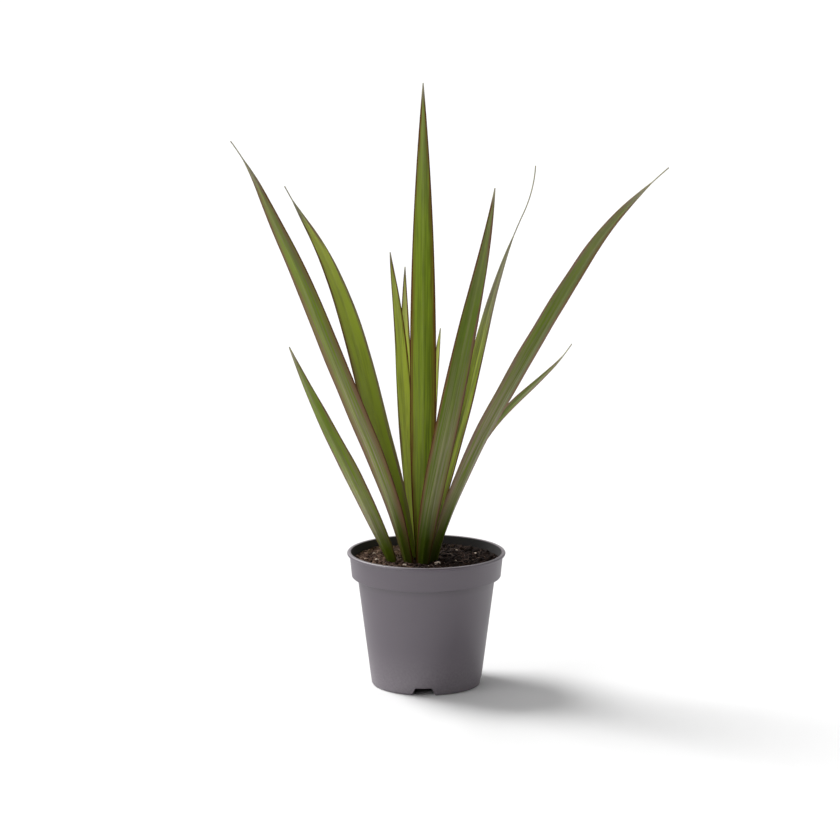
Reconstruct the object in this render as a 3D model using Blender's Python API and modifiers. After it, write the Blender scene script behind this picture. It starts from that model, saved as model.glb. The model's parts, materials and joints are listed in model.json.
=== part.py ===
"""A young dragon tree: sword-shaped leaves on a short buried crown, in the soil of a plastic nursery pot.

Metres, +Z up. The pot's axis is the Z axis and the pot stands on z = 0. The front is -Y.
"""

import math
import random
from collections import namedtuple

import bmesh
import bpy
from mathutils import Euler, Vector, noise

MM = 0.001
GAP = 0.3 * MM  # left between pieces that touch
MERGE = 0.05 * MM

# Pot: a rolled lip, a straight band below it, a step in, and a tapered body on a low foot ring
POT_HEIGHT = 103 * MM
LIP_RADIUS = 60.5 * MM  # half of a 12 cm pot with its rolled lip
LIP_BEAD = 1.25 * MM
BAND_TOP_RADIUS = 58.8 * MM
BAND_FOOT_RADIUS = 57 * MM
BAND_FOOT = 83.9 * MM
BAND_CORNER = 0.8 * MM
BODY_TOP_RADIUS = 52.6 * MM
BODY_FOOT_RADIUS = 41.9 * MM
FOOT_ROUND = 2 * MM
FOOT_WIDTH = 1.8 * MM
BASE_RISE = 5.4 * MM  # the base plate stands this far off the ground
WALL = 1.3 * MM
INNER_ROUND = 2 * MM
STEP_FILLET = 0.5 * MM
CENTRE_FOOT_RADIUS = 9 * MM
FOOT_SLOPE = 0.5 * MM  # the feet widen this much from the ground to the base plate
POT_STEPS = 64

# Drainage: cut-outs through the foot ring, and round holes in the base plate
NOTCHES = 4
NOTCH_TURN = math.radians(-93)
NOTCH_TOP_WIDTH = 12.7 * MM
NOTCH_FOOT_WIDTH = 15 * MM
NOTCH_HEIGHT = 5.9 * MM
NOTCH_DEPTH = 9 * MM
NOTCH_BELOW = 1 * MM  # the cutter goes on this far below the ground
DRAIN_HOLES = 8
DRAIN_RADIUS = 3.5 * MM
DRAIN_CIRCLE = 26 * MM

# Soil: a packed root ball with a crumbly top that rises a little towards the wall
SOIL_LEVEL = 94 * MM
SOIL_EDGE_RISE = 2.6 * MM
SOIL_LUMP = 1.05 * MM  # height and size of the soft lumps, and of the smaller ones between them
SOIL_LUMP_SIZE = 9 * MM
SOIL_GRAIN = 0.75 * MM
SOIL_GRAIN_SIZE = 3.6 * MM
SOIL_RINGS = 12
SOIL_STEPS = 48
SOIL_FOOT_CUT = 1.7 * MM  # the ball narrows this much at its foot, inside the rounded corner of the pot
CRUMBS = 44
CRUMB_RADIUS = (1.1 * MM, 2.3 * MM)
CRUMB_SQUASH = (1.0, 0.8, 0.75)
CRUMB_RISE = 0.15  # height of a crumb's middle above the soil, as a share of its radius
CRUMB_SPACING = 1.1
CRUMB_REACH = 52 * MM
CRUMB_SEED = 11
LEAF_ROOM = ((-3.5, 4.5, 20), (-25, -1, 10))  # (x, y, radius) in millimetres, kept free of crumbs

# Perlite grains by (x, y, radius) in millimetres
PERLITE = (
    (8.6, -9.0, 2.4), (-16.5, -13.0, 1.7), (1.8, -14.5, 1.2), (-38.0, -1.0, 1.9), (-47.0, 0.5, 1.2),
    (-23.5, 31.0, 1.2), (22.5, 1.5, 1.2), (24.0, 35.0, 1.1), (-30.0, -31.0, 1.8), (18.0, -38.0, 1.5),
    (41.0, -12.0, 1.6), (-9.0, 40.0, 1.7), (38.0, 21.0, 1.4), (-40.0, 22.0, 1.3),
)

# Crown: the buried short stem that all but one of the leaves grow from
CROWN_CENTRE = (-3.5 * MM, 4.5 * MM)
CROWN_TOP = 88 * MM
CROWN_RADIUS = 13.5 * MM
CROWN_EDGE = 1 * MM
CROWN_WAIST = 0.8  # radius half-way down, as a share of the radius at the top
CROWN_FOOT = 60 * MM
CROWN_FOOT_RADIUS = 7.5 * MM
CROWN_STEPS = 24

# Leaves. Angles are in degrees from upright, read at STATIONS along the leaf: right is towards +X, back is
# towards +Y and is read at the root, middle and tip. The outer face looks towards the compass angle facing,
# at the root and at the tip, where 0 is +X and 90 is +Y. Root, length and width are in millimetres. The blade
# narrows to its tip at the share of its length given by ends, and goes on from there as a dry thread. A high
# taper keeps it wide for longer. The two halves are folded back along the rib by fold degrees.
STATIONS = (0.0, 0.15, 0.3, 0.45, 0.6, 0.75, 0.88, 1.0)
Leaf = namedtuple("Leaf", "root right back length width ends taper facing fold")
LEAVES = {
    "leaf_left_long": Leaf((-13.1, -4.0), (-12.7, -17.2, -21.5, -20.5, -20.1, -23.5, -22.8, -35), (-8, -12, -16),
                           366, 17, 0.955, 2.4, (236, 266), 24),
    "leaf_left_back": Leaf((-12.8, 7.5), (-9, -14, -16, -13.3, -17, -23, -32.5, -30), (8, 14, 20),
                           312, 20, 0.96, 2, (125, 112), 16),
    "leaf_left_short": Leaf((-25.4, -1.0), (-20.5, -23.5, -24, -25, -25, -23.5, -22.5, -21.5), (-8, -10, -12),
                            195, 17, 1.0, 1.6, (230, 238), 22),
    "leaf_centre": Leaf((-2.5, 1.4), (0, 0, 0, 0, 0, 0, 0, 0), (-2, -3, -3),
                        373, 20.6, 1.0, 2, (-90, -90), 20),
    "leaf_front": Leaf((-3.2, -7.0), (3.5, 9.2, 11.7, 11.1, 11.2, 11.5, 9.5, 6.5), (-10, -14, -16),
                       314, 17.6, 1.0, 1.8, (-95, -75), 20),
    "leaf_right_thin": Leaf((0.1, 7.5), (11, 13.6, 16, 13.5, 14.5, 19.5, 26, 4), (8, 14, 18),
                            322, 12, 0.82, 1.5, (60, 70), 18),
    "leaf_right_long": Leaf((4.0, -0.4), (16.5, 20.7, 25.2, 28.2, 28.3, 30.4, 41.8, 48), (-6, -10, -14),
                            365, 20.9, 0.955, 2.3, (-32, -58), 24),
    "leaf_right_short": Leaf((5.9, 9.2), (15.5, 18.2, 21.3, 27.3, 41.3, 48.3, 46, 34), (6, 8, 10),
                             205, 10, 0.95, 2.2, (25, 35), 22),
    "leaf_back_left": Leaf((-7.5, 14.0), (-3, -5.3, -5.8, -4, -3.5, -6, -8.7, -7), (22, 30, 34),
                           260, 12.5, 1.0, 2, (112, 100), 18),
    "leaf_back_middle": Leaf((-6.5, 18.2), (-5, -5, -4.5, -3, -2, -1, -0.5, 1), (24, 32, 36),
                             250, 11, 1.0, 2, (95, 90), 18),
    "leaf_back_right": Leaf((-0.6, 13.5), (1.2, 1.6, 2.6, 3.2, 4.7, 6.5, 7.5, 8), (28, 36, 40),
                            204, 9.5, 1.0, 2, (85, 80), 18),
}
LEAF_SEGMENTS = 22
LEAF_COLUMNS = 4
ROOT_SHARE = 0.5  # width where a leaf leaves the crown, as a share of its full width
TIP_WIDTH = 0.8
WIDEST_FROM = 0.30  # the blade widens up to here, runs at full width, and narrows from WIDEST_TO
WIDEST_TO = 0.40
FOLD_LEFT = 0.45  # share of the fold that is left at the tip
CUP_POWER = 1.25  # 1 is a sharp V, and more rounds the rib
BLADE_THICKNESS = 0.8 * MM
RIB_THICKNESS = 1.5 * MM
ROOT_THICKNESS = 2.4 * MM
ROOT_EDGE_THICKNESS = 1.44 * MM
ROOT_LENGTH = 0.16  # share of the leaf over which the thick root thins out
ROOT_POWER = 1.5
BURIED = 16 * MM  # length of leaf that the hole in the soil is fitted to
BURIED_SEGMENTS = 3

# Colours as linear red, green and blue
POT_GREY = (0.120, 0.107, 0.118)
SOIL_BROWN = (0.030, 0.019, 0.014)
CROWN_BROWN = (0.060, 0.034, 0.016)
LEAF_GREEN = (0.110, 0.175, 0.040)


def clear_scene():
    for obj in list(bpy.data.objects):
        bpy.data.objects.remove(obj, do_unlink=True)


def new_collection(name):
    collection = bpy.data.collections.new(name)
    bpy.context.scene.collection.children.link(collection)
    return collection


def plain_material(name, colour, roughness):
    material = bpy.data.materials.new(name)
    material.use_nodes = True
    shader = material.node_tree.nodes["Principled BSDF"]
    shader.inputs["Base Color"].default_value = (*colour, 1.0)
    shader.inputs["Roughness"].default_value = roughness
    shader.inputs["Metallic"].default_value = 0.0
    return material


def new_object(name, mesh, collection, material=None):
    obj = bpy.data.objects.new(name, mesh)
    collection.objects.link(obj)
    if material:
        mesh.materials.append(material)
    return obj


def mesh_of(bm, name):
    """The bmesh as a mesh with its faces pointing out."""
    bmesh.ops.recalc_face_normals(bm, faces=bm.faces)
    mesh = bpy.data.meshes.new(name)
    bm.to_mesh(mesh)
    bm.free()
    return mesh


def as_cutter(obj):
    obj.hide_render = True
    obj.display_type = "WIRE"


def bake(obj):
    """Replaces the object's mesh by its evaluated one, without modifiers."""
    bpy.context.view_layer.update()
    graph = bpy.context.evaluated_depsgraph_get()
    mesh = bpy.data.meshes.new_from_object(obj.evaluated_get(graph))
    obj.modifiers.clear()
    obj.data = mesh


def remove_objects(objects):
    for obj in list(objects):
        bpy.data.objects.remove(obj, do_unlink=True)


def arc(centre, radius, start, end, steps):
    """Points (x, z) on an arc from one angle to another, in degrees."""
    angles = [math.radians(start + (end - start) * i / steps) for i in range(steps + 1)]
    return [(centre[0] + radius * math.cos(a), centre[1] + radius * math.sin(a)) for a in angles]


def turned(name, profile, steps, collection, material):
    """A solid turned about Z from a half section that ends on the axis at both ends."""
    mesh = bpy.data.meshes.new(name)
    edges = [(i, i + 1) for i in range(len(profile) - 1)]
    mesh.from_pydata([(x, 0.0, z) for x, z in profile], edges, [])
    obj = new_object(name, mesh, collection, material)
    screw = obj.modifiers.new("turn", "SCREW")
    screw.axis = "Z"
    screw.angle = 2 * math.pi
    screw.steps = steps
    screw.render_steps = steps
    screw.use_merge_vertices = True
    screw.merge_threshold = MERGE
    screw.use_smooth_shade = True
    return obj


def cut(obj, collection):
    modifier = obj.modifiers.new("cut", "BOOLEAN")
    modifier.operation = "DIFFERENCE"
    modifier.solver = "EXACT"
    modifier.operand_type = "COLLECTION"
    modifier.collection = collection


def body_radius(z):
    """Outer radius of the tapered body."""
    return BODY_FOOT_RADIUS + (BODY_TOP_RADIUS - BODY_FOOT_RADIUS) * z / BAND_FOOT


def band_radius(z):
    """Outer radius of the band below the lip."""
    share = (z - BAND_FOOT) / (POT_HEIGHT - BAND_FOOT)
    return BAND_FOOT_RADIUS + (BAND_TOP_RADIUS - BAND_FOOT_RADIUS) * share


def pot_profile():
    """Half section of the pot: out along the inside of the base, up the inner wall and down the outside."""
    base_top = BASE_RISE + WALL
    shelf_top = BAND_FOOT + WALL
    inner_foot = body_radius(base_top) - WALL - INNER_ROUND
    bead = (LIP_RADIUS - LIP_BEAD, POT_HEIGHT - LIP_BEAD)
    corner = (BAND_FOOT_RADIUS - BAND_CORNER, BAND_FOOT + BAND_CORNER)
    foot = (body_radius(FOOT_ROUND) - FOOT_ROUND, FOOT_ROUND)
    below_lip = POT_HEIGHT - 2.2 * LIP_BEAD
    inside = [(0.0, base_top)]
    inside += arc((inner_foot, base_top + INNER_ROUND), INNER_ROUND, -90, 0, 3)
    inside += [(body_radius(shelf_top) - WALL, shelf_top), (band_radius(shelf_top) - WALL, shelf_top)]
    inside += [(band_radius(POT_HEIGHT) - WALL, POT_HEIGHT - LIP_BEAD / 2)]
    inside += [(band_radius(POT_HEIGHT) - WALL / 2, POT_HEIGHT)]
    outside = arc(bead, LIP_BEAD, 90, -120, 7)
    outside += [(band_radius(below_lip), below_lip)]
    outside += arc(corner, BAND_CORNER, 0, -90, 3)
    outside += [(body_radius(BAND_FOOT) + STEP_FILLET, BAND_FOOT)]
    outside += [(body_radius(BAND_FOOT), BAND_FOOT - STEP_FILLET)]
    outside += arc(foot, FOOT_ROUND, 0, -90, 4)
    under = [(foot[0] - FOOT_WIDTH, 0.0), (foot[0] - FOOT_WIDTH - FOOT_SLOPE, BASE_RISE)]
    under += [(CENTRE_FOOT_RADIUS + FOOT_SLOPE, BASE_RISE), (CENTRE_FOOT_RADIUS, 0.0), (0.0, 0.0)]
    return inside + outside + under


def notch_cutter(index, collection):
    """A wedge through the foot ring, wider at the ground than at its top."""
    bm = bmesh.new()
    bmesh.ops.create_cube(bm, size=1.0)
    for vert in bm.verts:
        width, height = (NOTCH_TOP_WIDTH, NOTCH_HEIGHT) if vert.co.z > 0 else (NOTCH_FOOT_WIDTH, -NOTCH_BELOW)
        vert.co = Vector((body_radius(0) + vert.co.x * NOTCH_DEPTH, vert.co.y * width, height))
    obj = new_object(f"notch_cutter_{index}", mesh_of(bm, "notch"), collection)
    obj.rotation_euler.z = NOTCH_TURN + 2 * math.pi * index / NOTCHES
    as_cutter(obj)


def drain_cutter(index, collection):
    bm = bmesh.new()
    bmesh.ops.create_cone(
        bm, cap_ends=True, segments=16, radius1=DRAIN_RADIUS, radius2=DRAIN_RADIUS, depth=4 * WALL
    )
    obj = new_object(f"drain_cutter_{index}", mesh_of(bm, "drain"), collection)
    angle = NOTCH_TURN + 2 * math.pi * (index + 0.5) / DRAIN_HOLES
    obj.location = (DRAIN_CIRCLE * math.cos(angle), DRAIN_CIRCLE * math.sin(angle), BASE_RISE + WALL / 2)
    as_cutter(obj)


def make_pot(collection, material):
    cutters = new_collection("pot_cutters")
    for index in range(NOTCHES):
        notch_cutter(index, cutters)
    for index in range(DRAIN_HOLES):
        drain_cutter(index, cutters)
    pot = turned("pot", pot_profile(), POT_STEPS, collection, material)
    cut(pot, cutters)
    return pot


def soil_height(x, y):
    """Height of the soil's top at a place: a shallow dish with soft lumps."""
    share = math.hypot(x, y) / BAND_FOOT_RADIUS
    lumps = noise.noise(Vector((x, y, 0.0)) / SOIL_LUMP_SIZE)
    grains = noise.noise(Vector((x, y, SOIL_LEVEL)) / SOIL_GRAIN_SIZE)
    return SOIL_LEVEL + SOIL_EDGE_RISE * share ** 2 + SOIL_LUMP * lumps + SOIL_GRAIN * grains


def soil_profile():
    """Half section of the root ball, GAP clear of the inside of the pot."""
    base = BASE_RISE + WALL + GAP
    shelf = BAND_FOOT + WALL + GAP
    edge = band_radius(SOIL_LEVEL) - WALL - GAP
    top = [(edge * i / SOIL_RINGS, SOIL_LEVEL) for i in range(SOIL_RINGS + 1)]
    side = [
        (band_radius(shelf) - WALL - GAP, shelf),
        (body_radius(shelf) - WALL - GAP, shelf),
        (body_radius(base) - WALL - GAP - SOIL_FOOT_CUT, base),
        (0.0, base),
    ]
    return top + side


def make_crumb(name, place, radius, spin, collection):
    """A small faceted lump sunk to its middle in the soil."""
    bm = bmesh.new()
    bmesh.ops.create_icosphere(bm, subdivisions=1, radius=radius)
    bmesh.ops.scale(bm, verts=bm.verts, vec=CRUMB_SQUASH)
    obj = new_object(name, mesh_of(bm, name), collection)
    obj.location = (*place, soil_height(*place) + CRUMB_RISE * radius)
    obj.rotation_euler = spin


def crumb_places():
    """Seeded places and sizes all over the soil, clear of the leaves and of the wall."""
    draw = random.Random(CRUMB_SEED)
    places = [(Vector((x, y)) * MM, radius * MM) for x, y, radius in PERLITE]
    rooms = [(Vector((x, y)) * MM, radius * MM) for x, y, radius in LEAF_ROOM]
    while len(places) < CRUMBS + len(PERLITE):
        angle = draw.uniform(0, 2 * math.pi)
        reach = CRUMB_REACH * math.sqrt(draw.random())
        place = Vector((reach * math.cos(angle), reach * math.sin(angle)))
        if any((place - middle).length < room for middle, room in rooms):
            continue
        radius = draw.uniform(*CRUMB_RADIUS)
        if all((place - other).length > CRUMB_SPACING * (radius + taken) for other, taken in places):
            places.append((place, radius))
    spins = [Euler([draw.uniform(0, 2 * math.pi) for _ in range(3)]) for _ in places]
    return [(place, radius, spin) for (place, radius), spin in zip(places, spins)]


def make_soil(collection, material, hole_cutters):
    soil = turned("soil", soil_profile(), SOIL_STEPS, collection, material)
    bake(soil)
    top = SOIL_LEVEL - 0.01 * MM
    for vert in soil.data.vertices:
        if vert.co.z > top:
            vert.co.z = soil_height(vert.co.x, vert.co.y)
    crumbs = new_collection("soil_crumbs")
    for index, (place, radius, spin) in enumerate(crumb_places()):
        make_crumb(f"crumb_{index:02d}", place, radius, spin, crumbs)
    union = soil.modifiers.new("crumbs", "BOOLEAN")
    union.operation = "UNION"
    union.solver = "EXACT"
    union.operand_type = "COLLECTION"
    union.collection = crumbs
    bake(soil)
    remove_objects(crumbs.objects)
    bpy.data.collections.remove(crumbs)
    cut(soil, hole_cutters)
    return soil


def crown_profile(margin):
    """Half section of the crown, or of the hole it stands in when margin is above zero."""
    top = CROWN_TOP + margin
    foot = CROWN_FOOT - margin
    waist = (CROWN_TOP + CROWN_FOOT) / 2
    return [
        (0.0, top), (CROWN_RADIUS - CROWN_EDGE + margin, top), (CROWN_RADIUS + margin, top - CROWN_EDGE),
        (CROWN_RADIUS * CROWN_WAIST + margin, waist), (CROWN_FOOT_RADIUS + margin, foot), (0.0, foot),
    ]


def make_crown(collection, material, hole_cutters):
    crown = turned("crown", crown_profile(0.0), CROWN_STEPS, collection, material)
    crown.location = (*CROWN_CENTRE, 0.0)
    hole = turned("crown_hole", crown_profile(GAP), CROWN_STEPS, hole_cutters, None)
    hole.location = crown.location
    bake(hole)
    as_cutter(hole)
    return crown


def mix(values, t):
    """Straight interpolation in evenly spaced values, t from 0 to 1."""
    place = t * (len(values) - 1)
    i = min(int(place), len(values) - 2)
    return values[i] + (values[i + 1] - values[i]) * (place - i)


def at_stations(values, t):
    """Straight interpolation in values given at STATIONS."""
    for i in range(len(STATIONS) - 1):
        if t <= STATIONS[i + 1]:
            share = (t - STATIONS[i]) / (STATIONS[i + 1] - STATIONS[i])
            return values[i] + (values[i + 1] - values[i]) * share
    return values[-1]


def direction(leaf, t):
    """Unit vector along the leaf at t."""
    right = math.tan(math.radians(at_stations(leaf.right, t)))
    back = math.tan(math.radians(mix(leaf.back, t)))
    return Vector((right, back, 1.0)).normalized()


def width_at(leaf, t):
    """Width of the blade in metres at t."""
    if t < WIDEST_FROM:
        rise = 1 - (1 - t / WIDEST_FROM) ** 2
        width = leaf.width * (ROOT_SHARE + (1 - ROOT_SHARE) * rise)
    else:
        fall = min(1.0, max(0.0, (t - WIDEST_TO) / (leaf.ends - WIDEST_TO)))
        width = TIP_WIDTH + (leaf.width - TIP_WIDTH) * (1 - fall ** leaf.taper)
    return width * MM


def facings(leaf, t):
    """Unit vectors across the leaf and out of its face at t."""
    along = direction(leaf, t)
    compass = math.radians(mix(leaf.facing, t))
    facing = Vector((math.cos(compass), math.sin(compass), 0.0))
    outward = (facing - along * facing.dot(along)).normalized()
    return along.cross(outward), outward


def frames(leaf, count, last=1.0):
    """Middle points of the leaf with its crossways and outward directions, from the root to last."""
    sideways, outward = facings(leaf, 0.0)
    dip = 0.5 * (ROOT_THICKNESS * abs(outward.z) + width_at(leaf, 0.0) * abs(sideways.z))
    point = Vector((leaf.root[0] * MM, leaf.root[1] * MM, CROWN_TOP + GAP + dip))
    step = leaf.length * MM * last / count
    found = []
    for i in range(count + 1):
        t = last * i / count
        found.append((t, point.copy(), *facings(leaf, t)))
        point += direction(leaf, min(1.0, last * (i + 0.5) / count)) * step
    return found


def blade_mesh(leaf, name, count, last=1.0, margin=0.0):
    """The leaf as an open sheet of triangles, folded along its rib, weighted for its thickness."""
    bm = bmesh.new()
    bmesh.ops.create_grid(bm, x_segments=LEAF_COLUMNS, y_segments=count, size=0.5)
    weights = bm.verts.layers.deform.verify()
    rows = frames(leaf, count, last)
    for vert in bm.verts:
        across = 2 * vert.co.x
        t, point, sideways, outward = rows[round((vert.co.y + 0.5) * count)]
        fold = math.radians(leaf.fold) * (1 + (FOLD_LEFT - 1) * t)
        half = width_at(leaf, t) / 2 + margin
        cup = abs(across) ** CUP_POWER
        vert.co = point + sideways * half * across * math.cos(fold) - outward * half * cup * math.sin(fold)
        edge = BLADE_THICKNESS
        rib = RIB_THICKNESS + (BLADE_THICKNESS - RIB_THICKNESS) * t
        root = max(0.0, 1 - t / ROOT_LENGTH) ** ROOT_POWER
        rib += (ROOT_THICKNESS - rib) * root
        edge += (ROOT_EDGE_THICKNESS - edge) * root
        thickness = rib + (edge - rib) * abs(across)
        vert[weights][0] = thickness / ROOT_THICKNESS
    bmesh.ops.triangulate(bm, faces=bm.faces, quad_method="FIXED")
    mesh = bpy.data.meshes.new(name)
    bm.to_mesh(mesh)
    bm.free()
    return mesh


def thicken(obj, margin=0.0):
    obj.vertex_groups.new(name="thickness")
    solid = obj.modifiers.new("thickness", "SOLIDIFY")
    solid.thickness = ROOT_THICKNESS + 2 * margin
    solid.offset = 0.0
    solid.vertex_group = "thickness"
    solid.thickness_vertex_group = 0.0
    solid.use_rim = True


def make_leaf(name, leaf, collection, material):
    obj = new_object(name, blade_mesh(leaf, name, LEAF_SEGMENTS), collection, material)
    thicken(obj)
    return obj


def root_cutter(names, cutter_name, collection):
    """The hole in the soil round the roots of these leaves: the hull of what is in the soil, GAP larger."""
    hull = bmesh.new()
    for name in names:
        leaf = LEAVES[name]
        mesh = blade_mesh(leaf, "root", BURIED_SEGMENTS, BURIED / (leaf.length * MM), GAP)
        obj = new_object("root", mesh, collection)
        thicken(obj, GAP)
        bake(obj)
        for vert in obj.data.vertices:
            drop = GAP if vert.co.z < CROWN_TOP + BURIED / 4 else 0.0
            hull.verts.new(vert.co - Vector((0.0, 0.0, drop)))
        bpy.data.objects.remove(obj, do_unlink=True)
    bmesh.ops.convex_hull(hull, input=hull.verts)
    loose = [vert for vert in hull.verts if not vert.link_faces]
    bmesh.ops.delete(hull, geom=loose, context="VERTS")
    obj = new_object(cutter_name, mesh_of(hull, cutter_name), collection)
    as_cutter(obj)


def main():
    clear_scene()
    plant = new_collection("potted_dragon_tree")
    holes = new_collection("soil_cutters")
    make_pot(plant, plain_material("pot plastic", POT_GREY, 0.45))
    make_crown(plant, plain_material("crown bark", CROWN_BROWN, 0.8), holes)
    green = plain_material("leaf green", LEAF_GREEN, 0.4)
    for name, leaf in LEAVES.items():
        make_leaf(name, leaf, plant, green)
    alone = ["leaf_left_short"]
    root_cutter(alone, "short_leaf_hole", holes)
    root_cutter([name for name in LEAVES if name not in alone], "crown_leaves_hole", holes)
    make_soil(plant, plain_material("potting soil", SOIL_BROWN, 0.95), holes)


main()
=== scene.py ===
"""A young dragon tree in a nursery pot, dressed for a studio picture.

Metres, +Z up. The pot's axis is the Z axis, the pot stands on z = 0 and the front is -Y.
"""

import json
import math
from collections import namedtuple

import bmesh
import bpy
import numpy as np
from bpy.props import FloatProperty, FloatVectorProperty, IntProperty, PointerProperty
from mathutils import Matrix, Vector, noise

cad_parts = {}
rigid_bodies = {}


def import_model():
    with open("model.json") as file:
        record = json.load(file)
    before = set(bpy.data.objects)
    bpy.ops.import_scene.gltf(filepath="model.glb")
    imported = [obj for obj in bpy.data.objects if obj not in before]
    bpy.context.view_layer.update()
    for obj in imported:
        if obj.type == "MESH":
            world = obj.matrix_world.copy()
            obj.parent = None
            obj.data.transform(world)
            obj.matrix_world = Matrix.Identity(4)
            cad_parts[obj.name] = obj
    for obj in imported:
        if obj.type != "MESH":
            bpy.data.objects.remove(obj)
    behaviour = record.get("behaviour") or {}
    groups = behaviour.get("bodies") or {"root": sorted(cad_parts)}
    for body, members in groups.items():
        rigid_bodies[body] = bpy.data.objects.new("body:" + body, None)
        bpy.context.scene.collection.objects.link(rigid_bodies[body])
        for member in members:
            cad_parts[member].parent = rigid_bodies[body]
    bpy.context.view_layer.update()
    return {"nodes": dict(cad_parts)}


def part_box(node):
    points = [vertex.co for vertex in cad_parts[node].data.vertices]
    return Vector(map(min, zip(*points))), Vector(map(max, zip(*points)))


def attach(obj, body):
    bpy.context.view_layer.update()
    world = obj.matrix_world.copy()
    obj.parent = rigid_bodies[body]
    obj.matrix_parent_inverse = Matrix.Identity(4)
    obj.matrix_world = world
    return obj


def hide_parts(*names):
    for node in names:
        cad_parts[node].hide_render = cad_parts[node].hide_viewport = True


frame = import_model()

bl_info = {
    "name": "Potted dragon tree",
    "version": (1, 0, 0),
    "blender": (4, 5, 0),
    "location": "View3D > Sidebar > Dragon tree",
    "description": "Builds a young dragon tree in a nursery pot, with its soil, leaves and studio",
    "category": "Object",
}

MM = 0.001
GAP = 0.3 * MM  # kept between pieces that rest on each other

# Pot: a rolled lip, a straight band below it, a step in, and a tapered body on a low foot ring
LIP_BEAD = 1.25 * MM
BAND_TOP_RADIUS = 58.8 * MM
BAND_FOOT_RADIUS = 57 * MM
BAND_FOOT = 83.9 * MM
BAND_CORNER = 0.8 * MM
BODY_TOP_RADIUS = 52.6 * MM
BODY_FOOT_RADIUS = 41.9 * MM
FOOT_ROUND = 2 * MM
FOOT_WIDTH = 1.8 * MM
BASE_RISE = 5.4 * MM
INNER_ROUND = 2 * MM
STEP_FILLET = 0.5 * MM
LIP_DEPTH = 2.2 * LIP_BEAD
LIP_HIGHLIGHT = 0.7  # how pale the painted highlight along the top of the lip is, and how deep it reaches
LIP_HIGHLIGHT_DEPTH = 0.3 * LIP_BEAD
BAND_SHADOW = 0.35  # how dark the painted shadow in the corner below the band is, how near it lies, and where it has faded out
BAND_SHADOW_REACH = 1.1 * STEP_FILLET
BAND_SHADOW_DEPTH = 6 * MM
CENTRE_FOOT_RADIUS = 9 * MM
FOOT_SLOPE = 0.5 * MM
NOTCHES = 4
NOTCH_TURN = math.radians(-93)
NOTCH_TOP_WIDTH = 12.7 * MM
NOTCH_FOOT_WIDTH = 19 * MM
NOTCH_HEIGHT = 5.9 * MM
NOTCH_DEPTH = 9 * MM
NOTCH_BELOW = 1 * MM
DRAIN_HOLES = 8
DRAIN_RADIUS = 3.5 * MM
DRAIN_CIRCLE = 26 * MM
DRAIN_STEPS = 32
SHARP_EDGE = math.radians(38)
HAIR = 0.01 * MM  # heights nearer than this count as one

# Soil: a dish that rises to the wall, with lumps, grains and grit by their height and their size
SOIL_LEVEL = 94 * MM
SOIL_EDGE_RISE = 2.6 * MM
SOIL_LUMP = 1.05 * MM
SOIL_LUMP_SIZE = 9 * MM
SOIL_GRAIN = 0.75 * MM
SOIL_GRAIN_SIZE = 3.6 * MM
SOIL_GRIT = 0.4 * MM
SOIL_GRIT_SIZE = 1.3 * MM
SOIL_RINGS = 110
SOIL_STEPS = 288
SOIL_FOOT_CUT = 1.7 * MM
SOIL_EDGE = 55.4 * MM
SOIL_SHADE = 0.2
SEED = 5

# Loose bits on the soil: the setting with their number, the steps of their ball, the least and greatest
# radius in millimetres, the height of the middle above the soil and the depth of the dents as shares of the
# radius, how the ball is squashed, and the tilt in radians
Bits = namedtuple("Bits", "setting steps least most rise dents squash tilt")
BITS = {
    "soil_lumps": Bits("lumps", 2, 0.7, 2.3, 0.2, 0.16, (1, 0.85, 0.75), 1.5),
    "soil_crumbs": Bits("crumbs", 1, 0.3, 0.9, 0.3, 0.2, (1, 0.85, 0.8), 1.5),
    "bark_chips": Bits("chips", 2, 1.5, 3.4, 0.25, 0.12, (1, 0.45, 0.22), 0.35),
}
MOSTLY_SMALL = 1.6  # powers that make small bits and dark ones the more common
MOSTLY_DARK = (1.0, 1.9)
LEAF_ROOM = 0.7, 0.6 * MM  # kept free round a leaf: a share of the bit's radius, and a width
# Fibres: their radii and the height of their arch in millimetres, their bend in radians, and how much thinner
# they are at the ends
FIBRE_LENGTHS = 3.5 * MM, 13 * MM
FIBRE_RADII = 0.11, 0.28
FIBRE_ARCH = 1.6
FIBRE_BEND = 1.2
FIBRE_THINNING = 0.6
FIBRE_STEPS = 9
FIBRE_SIDES = 5

# Perlite grains by (x, y, radius) in millimetres
PERLITE = (
    (8.6, -9.0, 2.4), (-16.5, -13.0, 1.7), (1.8, -14.5, 1.2), (-38.0, -1.0, 1.9), (-47.0, 0.5, 1.2),
    (-23.5, 31.0, 1.2), (22.5, 1.5, 1.2), (24.0, 35.0, 1.1), (-30.0, -31.0, 1.8), (18.0, -38.0, 1.5),
    (41.0, -12.0, 1.6), (-9.0, 40.0, 1.7), (38.0, 21.0, 1.4), (-40.0, 22.0, 1.3),
)
PERLITE_STEPS = 4
PERLITE_SQUASH = (1, 0.85, 0.8)
PERLITE_RISE = 0.25  # of the radius, from the soil to the middle
PERLITE_DENTS = (1.3, 0.35), (4, 0.12)  # broad and fine dents, by the waves in a radius and the depth
PERLITE_OWN = 900  # gives every grain dents of its own
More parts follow.
